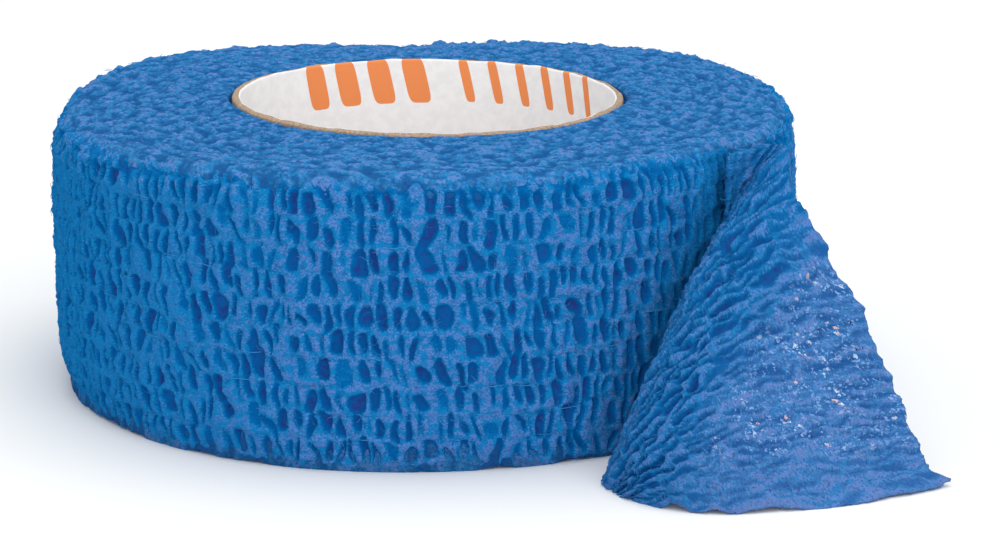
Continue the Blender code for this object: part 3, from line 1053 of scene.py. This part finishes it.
END_ROWS = 190
END_COLUMNS = 218
run_fine = np.linspace(SECTIONS[0].run, 1, 800)
middle_line = fall(run_fine, np.array([0.5]))[0]
end_length = np.concatenate([[0], np.cumsum(np.linalg.norm(np.diff(middle_line, axis=0), axis=1))])
run_grid = np.interp(np.linspace(0, end_length[-1], END_COLUMNS), end_length, run_fine)
across_grid = np.linspace(0, 1, END_ROWS)
end_middle = fall(run_grid, across_grid)
END_WIDTH = 25.0
end_shape = (END_ROWS, END_COLUMNS)
end_step = (END_WIDTH / (END_ROWS - 1), end_length[-1] / (END_COLUMNS - 1))
print(f"the loose end runs {end_length[-1]:.1f} mm; grid {end_step[0]:.3f} x {end_step[1]:.3f} mm")

# %% [markdown]
# Two of its edges are uneven: the side edge has small tongues where ridges end,
# and the cut end lies on the table in shallow scallops. So the border is moved
# inwards and outwards along the sheet, and the points behind it follow softly.

# %% Make the edges uneven
SIDE_TONGUES = 0.20
CUT_BULGE = 0.8
CUT_SCALLOPS = 0.22
POINT_SCATTER = 0.035


def unit(vectors):
    """The vectors at length 1."""
    return vectors / np.linalg.norm(vectors, axis=-1, keepdims=True)


along_way = unit(np.gradient(end_middle, axis=1))
across_way = unit(np.gradient(end_middle, axis=0))
tongues = SIDE_TONGUES * lumps(end_shape, end_step, (6.0, 0.35), 36)
tongues = tongues * (0.35 + 0.65 * smooth_step(0.35, 0.55, run_grid))[None, :]
scallops = CUT_SCALLOPS * lumps(end_shape, end_step, (0.7, 6.0), 37)
scallops = scallops + CUT_BULGE * np.exp(-((across_grid - 0.76) / 0.13) ** 2)[:, None]
scatter = [POINT_SCATTER * lumps(end_shape, end_step, (0.08, 0.08), seed) for seed in (38, 39)]
near_side = smooth_step(0.90, 1.0, across_grid)[:, None]
near_cut = smooth_step(0.93, 1.0, run_grid)[None, :]
end_middle = end_middle + across_way * (tongues * near_side + scatter[0])[..., None]
end_middle = end_middle + along_way * (scallops * near_cut + scatter[1])[..., None]
print(f"the side edge wanders by {np.ptp(tongues[-1]):.2f} mm")

# %% [markdown]
# Its crinkle is pressed as on the side, and the sheet's two faces follow the
# same relief, so a pit on one face is a bump on the other. Towards the corner
# the pits grow shallow and the web thin.

# %% Press the crinkle into the loose end
END_PIT_DEPTH = 0.74
SLOT_ROWS = 14
SLOT_PITCH = 1.86
FIRST_SLOT_HEIGHT = 0.4
CROWDED_ROWS = 5
END_DIMPLES = 900
SLACK = Weave(
    narrow=(0.13, 0.24), round=(0.26, 0.36), round_share=0.10,
    half_tall=(0.80, 1.40), ridge=0.20, spread=0.13)
CROWDED = Weave(               # for the fold, which draws the web together along the strip
    narrow=(0.20, 0.36), round=(0.38, 0.50), round_share=0.10,
    half_tall=(0.76, 1.25), ridge=0.32, spread=0.16)
end_random = np.random.default_rng(31)
end_pits = []
for row in range(SLOT_ROWS):
    end_pits += row_of_pits(
        FIRST_SLOT_HEIGHT + SLOT_PITCH * row, end_length[-1], 1.0, end_random,
        CROWDED if row < CROWDED_ROWS else SLACK)
end_pits += dimples(END_DIMPLES, (0.5, END_WIDTH - 0.5), end_length[-1], end_random)
end_hollow = press(end_shape, end_step, end_pits, OUTLINE_WANDER, 32)
stretched = smooth_step(
    0.58, 0.98, across_grid[:, None] + 1.4 * (run_grid[None, :] - 0.60))
lip = smooth_step(0.90, 0.97, run_grid)[None, :]
start_fade = smooth_step(SECTIONS[0].run, 0.06, run_grid)[None, :]
side_fade = 1 - 0.5 * smooth_step(0.93, 1.0, across_grid)[:, None]
by_rim = smooth_step(0.62, 0.90, across_grid)[:, None]
by_rim = by_rim * (1 - smooth_step(0.16, 0.32, run_grid))[None, :]
keep_crinkle = (1 - 0.55 * stretched) * (1 - 0.80 * lip) * (0.35 + 0.65 * start_fade) * side_fade
keep_crinkle = keep_crinkle * (1 - 0.65 * by_rim)
end_near = blurred(end_hollow, end_step, NEAR_REACH)
end_relief = -END_PIT_DEPTH * (0.7 * end_hollow + 0.3 * end_near) * keep_crinkle
end_relief += RIDGE_CROWN * (1 - end_near) * keep_crinkle
end_relief += 0.11 * lumps(end_shape, end_step, (1.3, 0.45), 29) * (0.3 + 0.7 * keep_crinkle)
end_relief += 0.055 * lumps(end_shape, end_step, (0.24, 0.18), 33)
end_relief += 0.034 * lumps(end_shape, end_step, (0.11, 0.09), 34)
# end_depth sets the colour: painted shade in the loose end's pits, less where the crinkle is drawn out
end_depth = np.clip(0.78 * end_hollow + 0.36 * end_near, 0, 1) * (0.55 + 0.45 * keep_crinkle)
print(len(end_pits), "pits in the loose end")

# %% [markdown]
# The open pores are real holes. Small cells of the grid are left out of both
# faces where the web is stretched, and the faces are joined round each one.

# %% Choose the open pores
PORE_LIMIT = 3.45              # how high noise, cluster and stretch add up at a pore
PORE_HEIGHT = 7.5              # no pore lies lower than this
PORE_ACROSS = 0.84             # or farther from the side edge

cell_shape = (END_ROWS - 1, END_COLUMNS - 1)
pore_noise = lumps(cell_shape, end_step, (0.06, 0.06), 35)
pore_clusters = lumps(cell_shape, end_step, (1.2, 0.8), 28)
pore_zone = (stretched * (1 - lip) * start_fade)[1:, 1:]
pores = pore_noise + 0.55 * pore_clusters + 0.8 * pore_zone > PORE_LIMIT
pores &= (pore_zone > 0.6) & (end_middle[1:, 1:, 2] > PORE_HEIGHT)
pores &= across_grid[1:, None] > PORE_ACROSS
pores[:4] = pores[-4:] = False
pores[:, :4] = pores[:, -4:] = False
for _ in range(3):
    leaning = pores[1:, 1:] & pores[:-1, :-1] & ~pores[1:, :-1] & ~pores[:-1, 1:]
    pores[1:, 1:] &= ~leaning
    leaning = pores[1:, :-1] & pores[:-1, 1:] & ~pores[1:, 1:] & ~pores[:-1, :-1]
    pores[1:, :-1] &= ~leaning
print(int(pores.sum()), "open cells")

# %% Build the sheet with its two faces and its pores
WEB_HALF = 0.27
WEB_HALF_STRETCHED = 0.14

end_normal = unit(np.cross(across_way, along_way))
half = (WEB_HALF + (WEB_HALF_STRETCHED - WEB_HALF) * stretched)[..., None]
bent = end_middle - end_normal * end_relief[..., None]
seen_face = bent - end_normal * half
far_face = bent + end_normal * half
for face in (seen_face, far_face):
    face[..., 2] = np.maximum(face[..., 2], 0.0)
end_cloth = np.zeros_like(end_middle)
end_cloth[..., 0] = np.arange(END_COLUMNS)[None, :] * end_step[1]
end_cloth[..., 1] = np.arange(END_ROWS)[:, None] * end_step[0]
print("sheet", round(2 * WEB_HALF, 2), "mm thick, and", 2 * WEB_HALF_STRETCHED, "mm where it is stretched")


def close_sheet(cells):
    """Faces of a two-sided sheet over the grid cells that are marked."""
    under = END_ROWS * END_COLUMNS
    number = np.arange(under).reshape(END_ROWS, END_COLUMNS)
    faces = []
    padded = np.pad(cells, 1)
    for row, column in zip(*np.nonzero(cells)):
        corners = (
            number[row, column], number[row, column + 1],
            number[row + 1, column + 1], number[row + 1, column],
        )
        faces.append(corners)
        faces.append(tuple(under + c for c in reversed(corners)))
        beside = (
            padded[row, column + 1], padded[row + 1, column + 2],
            padded[row + 2, column + 1], padded[row + 1, column],
        )
        for side in range(4):
            if not beside[side]:
                a, b = corners[side], corners[(side + 1) % 4]
                faces.append((b, a, under + a, under + b))
    return faces


end_points = np.concatenate([seen_face.reshape(-1, 3), far_face.reshape(-1, 3)])
loose_end = make_piece(
    "loose_sheet", end_points, close_sheet(~pores), [loose_finish],
    np.tile(end_depth.ravel(), 2),
    np.tile(end_cloth.reshape(-1, 3), (2, 1)),
    "loose_end", "bandage",
    pulled=np.tile(stretched.ravel() ** 1.6, 2),
    crumbed=np.tile((stretched * (1 - 0.6 * lip)).ravel(), 2),
    fuzzed=np.ones(2 * stretched.size),
)

# %% [markdown]
# ## The crease beside the loose end
#
# Where the loose end leaves the roll, the web is drawn in smooth and lies in shade,
# and its fuzz and its pits no longer stand out. A renderer finds most of the
# shade by itself. The rest is painted shade in the finish: points that lie close
# to the other piece all count as equally hollow, more so the closer they lie, so
# they take one flat mid-blue.

# %% Paint the shade of the crease
CREASE_SHADE_HOLLOW = 0.33
TURN_REACH = (3.8, 1.2)        # how near it begins, and where it is complete
SHEET_REACH = (2.8, 1.1)
BESIDE_COLUMNS = (110, 14)     # the side's columns by the sheet, counted from the last


def paint_crease_shade(piece, neighbour, reach):
    """Paint shade near the neighbour's points: draw a piece's hollow to one value.

    reach is how many millimetres apart they are where that begins and is complete.
    """
    mesh = piece.data
    spots = np.empty(3 * len(mesh.vertices), np.float32)
    mesh.vertices.foreach_get("co", spots)
    spots = spots.reshape(-1, 3) / MM - np.array([AXIS_X, AXIS_Y, 0.0]) / MM
    low = neighbour.min(axis=0) - reach[0]
    high = neighbour.max(axis=0) + reach[0]
    near = np.nonzero(np.all((spots > low) & (spots < high), axis=1))[0]
    hollow = np.empty(len(mesh.vertices), np.float32)
    mesh.attributes["hollow"].data.foreach_get("value", hollow)
    for part in np.array_split(near, max(len(near) // 2000, 1)):
        gaps = np.linalg.norm(spots[part, None] - neighbour[None], axis=2).min(axis=1)
        evened = 1 - smooth_step(reach[1], reach[0], gaps)
        # painted shade: near the other piece every point is drawn to the same flat colour
        hollow[part] += (CREASE_SHADE_HOLLOW - hollow[part]) * evened
    mesh.attributes["hollow"].data.foreach_set("value", hollow)
    print(piece.name, "evened out at", len(near), "points or fewer")


bent_sheet = end_middle[::6, 20::6].reshape(-1, 3)
paint_crease_shade(front_turn, bent_sheet, TURN_REACH)
beside_first, beside_last = (TURN_COLUMNS - back for back in BESIDE_COLUMNS)
side_places, _, _, _ = swept(np.arange(beside_first, beside_last, 3))
paint_crease_shade(loose_end, side_places[::5].reshape(-1, 3), SHEET_REACH)

# %% [markdown]
# ## Loose fibres and threads
#
# Fuzz stands on every ridge, and here and there an elastic thread shows where it
# spans a few pits. Blender's hair would draw both, but hair isn't a mesh, and it
# would be lost when the piece is exported. So each strand is a thin closed tube
# with three sides, which is enough for something thinner than a hair.

# %% Thin closed tubes along many paths at once
FIBRE_STEPS = 4
FIBRE_LENGTH = (0.30, 0.80)
FIBRE_LIFT = (0.03, 0.12)
FIBRE_BEND = (-0.15, 0.15)
FIBRE_CURL = (0.55, 1.0)       # how much of an arch a fibre makes
FIBRE_RADIUS = 0.022
FIBRE_ROOTS = 0.30             # only where the web is less hollow than this
ROOT_DEPTH = 0.03


def strands(name, paths, radius, cloth, finish, node, share=1.0):
    """One piece made of a thin tube along each path; paths is strands x steps x 3.

    share is how much painted lilac sheen each strand shows.
    """
    number, steps, _ = paths.shape
    ahead = unit(np.gradient(paths, axis=1))
    aside = unit(np.cross(ahead, (0.31, 0.17, 0.93)))
    over = np.cross(ahead, aside)
    turns = np.arange(3) * math.tau / 3
    corners = paths[:, :, None] + radius * (
        aside[:, :, None] * np.cos(turns)[:, None] + over[:, :, None] * np.sin(turns)[:, None])
    strand, step, corner = np.meshgrid(
        np.arange(number), np.arange(steps - 1), np.arange(3), indexing="ij")
    ring = (strand * steps + step) * 3
    beside = (corner + 1) % 3
    walls = np.stack([ring + corner, ring + beside, ring + 3 + beside, ring + 3 + corner], -1)
    roots = np.arange(number) * steps * 3
    caps = np.concatenate([
        np.stack([roots, roots + 2, roots + 1], -1),
        np.stack([roots, roots + 1, roots + 2], -1) + 3 * (steps - 1),
    ])
    faces = walls.reshape(-1, 4).tolist() + caps.tolist()
    each = np.repeat(cloth, steps * 3, axis=0)
    shares = np.repeat(share + np.zeros(number), steps * 3)
    return make_piece(
        name, corners.reshape(-1, 3), faces, [finish], np.zeros(len(each)), each,
        node, "bandage", fuzzed=shares)


def fuzz(points, outwards, hollow, number, seed):
    """Paths of short curled fibres rooted on a grid's ridges, and the roots' places."""
    random = np.random.default_rng(seed)
    rows, columns = points.shape[:2]
    row = random.integers(4, rows - 4, 2 * number)
    column = random.integers(4, columns - 4, 2 * number)
    on_ridge = np.nonzero(hollow[row, column] < FIBRE_ROOTS)[0][:number]
    row, column = row[on_ridge], column[on_ridge]
    number = len(on_ridge)
    up = outwards[row, column]
    heading = unit(np.cross(up, random.standard_normal((number, 3))))
    aside = np.cross(up, heading)
    t = np.linspace(0, 1, FIBRE_STEPS)[None, :, None]
    length, lift, bend, curl = (
        random.uniform(*limits, (number, 1, 1))
        for limits in (FIBRE_LENGTH, FIBRE_LIFT, FIBRE_BEND, FIBRE_CURL))
    paths = points[row, column][:, None] + heading[:, None] * length * t
    paths = paths + up[:, None] * (lift * np.sin(np.pi * curl * t) - ROOT_DEPTH)
    paths = paths + aside[:, None] * bend * np.sin(np.pi * t)
    paths[..., 2] = np.maximum(paths[..., 2], FIBRE_RADIUS)
    return paths, row, column


# %% Grow the fuzz
side_columns = np.arange(TURN_COLUMNS)
side_points, side_hollow, side_cloth, side_sheen = swept(side_columns)
around = np.radians(PEEL_BEARING + side_columns * 360.0 / TURN_COLUMNS)
side_out = np.stack([np.cos(around), np.sin(around), 0 * around], -1)[None] + 0 * side_points
top_up = np.zeros_like(top_points) + (0.0, 0.0, 1.0)
inner_rows = slice(8, -8)      # no fibre grows on the rows that tuck under or inside

Fuzz = namedtuple("Fuzz", "name points outwards hollow number seed cloth shares finish node")
FUZZES = (
    Fuzz("side_fuzz", side_points[inner_rows], side_out[inner_rows], side_hollow[inner_rows], 6000,
         71, side_cloth[inner_rows], side_sheen[inner_rows], side_finish, "wound_roll"),
    Fuzz("loose_fuzz", seen_face, -end_normal, end_depth, 1600,
         72, end_cloth, np.ones(end_shape), loose_finish, "loose_end"),
    Fuzz("top_fuzz", top_points, top_up, top_hollow, 1800,
         73, top_points, np.ones(top_hollow.shape), top_finish, "wound_roll"),
)
for kind in FUZZES:
    paths, row, column = fuzz(kind.points, kind.outwards, kind.hollow, kind.number, kind.seed)
    strands(
        kind.name, paths, FIBRE_RADIUS, kind.cloth[row, column], kind.finish, kind.node,
        kind.shares[row, column])

# %% [markdown]
# A thread that shows is drawn tight over the ridges of one row. So its height is
# the highest ridge nearby, a little less between two ridges.

# %% Lay the threads that show
THREAD_TONES = WebTones(
    (0.045, 0.290, 0.620, 1.0), FLANK_BLUE, PIT_BLUE, HEART_VIOLET, 0.3, 0.5)
thread_finish, _ = bandage_finish("bandage_thread", 6.2, 1.6, 0.8, THREAD_TONES, 0.02)
THREADS = 90
THREAD_RADIUS = 0.040
THREAD_STEPS = 9
THREAD_DIVE = 0.25             # both its ends go this far into the web

thread_random = np.random.default_rng(75)
side_reach = np.hypot(side_points[..., 0], side_points[..., 1])
thread_paths = []
thread_places = []
for _ in range(THREADS):
    level = thread_random.choice(row_places[:-1]) + THREAD_PITCH / 2 + thread_random.normal(0, 0.12)
    row = int(round(level / ROW_STEP))
    first = thread_random.integers(TURN_COLUMNS)
    spread = thread_random.integers(7, 15)
    at = (first + np.linspace(0, spread, THREAD_STEPS).astype(int)) % TURN_COLUMNS
    reach = [side_reach[row, np.arange(c - 5, c + 6) % TURN_COLUMNS].max() for c in at]
    reach = np.array(reach) - 0.02
    reach[[0, -1]] -= THREAD_DIVE
    sagging = 0.10 * np.sin(np.linspace(0, np.pi, THREAD_STEPS)) * thread_random.normal()
    height = side_points[row, at, 2].mean() + sagging
    east = reach * np.cos(around[at])
    thread_paths.append(np.stack([east, reach * np.sin(around[at]), height], -1))
    thread_places.append(side_cloth[row, at[0]])
strands(
    "elastic_threads", np.array(thread_paths), THREAD_RADIUS, np.array(thread_places),
    thread_finish, "wound_roll")

# %% [markdown]
# ## The paperboard tube
#
# The tube is wound from kraft board and lined with white paper, which has a row
# of plain slanted bars printed in orange, four broad ones and six thin ones. Its
# cut end shows as a brown ring, a little rough from the knife. The solid's ring
# is a good shape already, but it has too few sides for a close look and one
# finish for both papers, so a finer ring takes its place. The marks are formulas
# in the finish: the bearing round the tube's axis, times its radius, says how
# far along the row a point lies.

# %% Finishes of the two papers
PRINT_ORANGE = (0.840, 0.262, 0.084, 1.0)
LINER_WHITE = (0.885, 0.865, 0.870, 1.0)
LINER_GREY = (0.83, 0.81, 0.82, 1.0)
KRAFT = (0.500, 0.370, 0.255, 1.0)
KRAFT_DARK = (0.280, 0.185, 0.125, 1.0)


def paper_finish(name):
    """A plain Principled material, its tree, its shader and its place on the tube."""
    material = bpy.data.materials.new(name)
    material.use_nodes = True
    tree = material.node_tree
    shader = tree.nodes["Principled BSDF"]
    shader.inputs["Roughness"].default_value = 0.75
    shader.inputs["Specular IOR Level"].default_value = 0.25
    return material, tree, shader, attribute_node(tree, "cloth").outputs["Vector"]


def rounded_mark(tree, across, up, half_wide, half_tall, roundness):
    """1 inside a mark with round corners, whose middle is at 0, 0."""
    total = None
    for way, half in ((across, half_wide), (up, half_tall)):
        share = math_node(tree, "ABSOLUTE", math_node(tree, "DIVIDE", way, half))
        power = math_node(tree, "POWER", share, roundness)
        total = power if total is None else math_node(tree, "ADD", total, power)
    return map_range(tree, total, 1.08, 0.92)


# %% Print a row of bars on the liner
Bars = namedtuple("Bars", "first last pitch half_wide half_tall")
BARS = (
    Bars(0.0, 13.2, 3.3, 1.05, 2.15),
    Bars(14.9, 31.4, 2.75, 0.46, 2.00),
)
BARS_MIDDLE = 23.35
BARS_SLANT = 0.22
BARS_ROUNDNESS = 5.0
PRINT_START = 13.6             # along the tube, from the left end of the far wall
BOARD_THICKNESS = (0.62, 0.76)   # at the near and far side, and at left and right
INNER_RADIUS = CORE_RADIUS - BOARD_THICKNESS[0]
PRINT_REPEAT = math.pi * INNER_RADIUS

liner, liner_tree, liner_shader, liner_place = paper_finish("white_liner")
liner_parts = liner_tree.nodes.new("ShaderNodeSeparateXYZ")
liner_tree.links.new(liner_place, liner_parts.inputs[0])
bearing_node = math_node(liner_tree, "ARCTAN2", liner_parts.outputs[1], liner_parts.outputs[0])
round_tube = math_node(liner_tree, "MULTIPLY", bearing_node, INNER_RADIUS)
ahead = math_node(liner_tree, "SUBTRACT", 3 * PRINT_REPEAT - PRINT_START, round_tube)
in_run = math_node(liner_tree, "MODULO", ahead, PRINT_REPEAT)
off_up = math_node(liner_tree, "SUBTRACT", liner_parts.outputs[2], BARS_MIDDLE)
slanted = math_node(liner_tree, "ADD", in_run, math_node(liner_tree, "MULTIPLY", off_up, BARS_SLANT))
printed = None
for bars in BARS:
    past = math_node(liner_tree, "SUBTRACT", slanted, bars.first)
    in_pitch = math_node(liner_tree, "MODULO", past, bars.pitch)
    off_along = math_node(liner_tree, "SUBTRACT", in_pitch, bars.pitch / 2)
    bar = rounded_mark(
        liner_tree, off_along, off_up, bars.half_wide, bars.half_tall, BARS_ROUNDNESS)
    bar = math_node(liner_tree, "MULTIPLY", bar, math_node(liner_tree, "GREATER_THAN", past, 0.0))
    bar = math_node(liner_tree, "MULTIPLY", bar, math_node(liner_tree, "LESS_THAN", slanted, bars.last))
    printed = bar if printed is None else math_node(liner_tree, "MAXIMUM", printed, bar)
pulp = noise_node(liner_tree, liner_place, 1.1, 4.0, 0.6)
paper = mix_colours(
    liner_tree, map_range(liner_tree, pulp, 0.35, 0.65), LINER_WHITE, LINER_GREY)
liner_colour = mix_colours(liner_tree, printed, paper, PRINT_ORANGE)
liner_tree.links.new(liner_colour, liner_shader.inputs["Base Color"])

kraft, kraft_tree, kraft_shader, kraft_place = paper_finish("kraft_board")
board = noise_node(kraft_tree, kraft_place, 5.0, 4.0, 0.7)
kraft_tree.links.new(
    mix_colours(kraft_tree, map_range(kraft_tree, board, 0.35, 0.65), KRAFT, KRAFT_DARK),
    kraft_shader.inputs["Base Color"],
)
print("papers:", liner.name, kraft.name)

# %% Build the tube
CORE_COLUMNS = 256
TUBE_TILT = 0.006              # its upper end stands a little higher at the left
CORE_PROFILE = (
    (0.0, 0.0, 0), (0.0, 6.0, 0), (0.0, 12.0, 0), (0.0, 18.0, 0),
    (0.0, CORE_HEIGHT - 0.12, 0), (0.06, CORE_HEIGHT + 0.05, 0),
    (0.20, CORE_HEIGHT + 0.08, 1), (0.45, CORE_HEIGHT + 0.05, 1),
    (0.65, CORE_HEIGHT + 0.06, 1), (0.90, CORE_HEIGHT, 1),
    (1.0, CORE_HEIGHT - 0.15, 1), (1.0, 0.0, 1),
    (0.20, 0.0, 1),
)
bearing = np.arange(CORE_COLUMNS) * math.tau / CORE_COLUMNS
thin, thick = BOARD_THICKNESS
bore = CORE_RADIUS - thin - (thick - thin) * np.cos(bearing) ** 2
cut = 0.035 * lumps((len(CORE_PROFILE), CORE_COLUMNS), (0.3, 0.4), (0.3, 0.5), 61)
tube_rows = []
for row, (share, height, _) in enumerate(CORE_PROFILE):
    rough = cut[row] if 4 < row < 10 else 0 * bearing
    radius = bore + share * (CORE_RADIUS - bore)
    east = BORE_SHIFT * (height / CORE_HEIGHT) + radius * np.cos(bearing)
    lifted = height * (1 + TUBE_TILT * (0.6 - np.cos(bearing)))
    tube_rows.append(np.stack([east, radius * np.sin(bearing), lifted + rough], -1))
tube_faces = quads(len(CORE_PROFILE), CORE_COLUMNS, ring=True)
last_ring = (len(CORE_PROFILE) - 1) * CORE_COLUMNS
turn_on = (np.arange(CORE_COLUMNS) + 1) % CORE_COLUMNS
in_order = np.arange(CORE_COLUMNS)
closing = np.stack([last_ring + in_order, last_ring + turn_on, turn_on, in_order], -1)
tube_papers = np.repeat([kind for _, _, kind in CORE_PROFILE], CORE_COLUMNS)
make_piece(
    "paper_tube", np.concatenate(tube_rows), np.concatenate([tube_faces, closing]).tolist(),
    [liner, kraft], np.zeros(len(CORE_PROFILE) * CORE_COLUMNS), np.concatenate(tube_rows),
    "core", "paperboard", which=tube_papers,
)
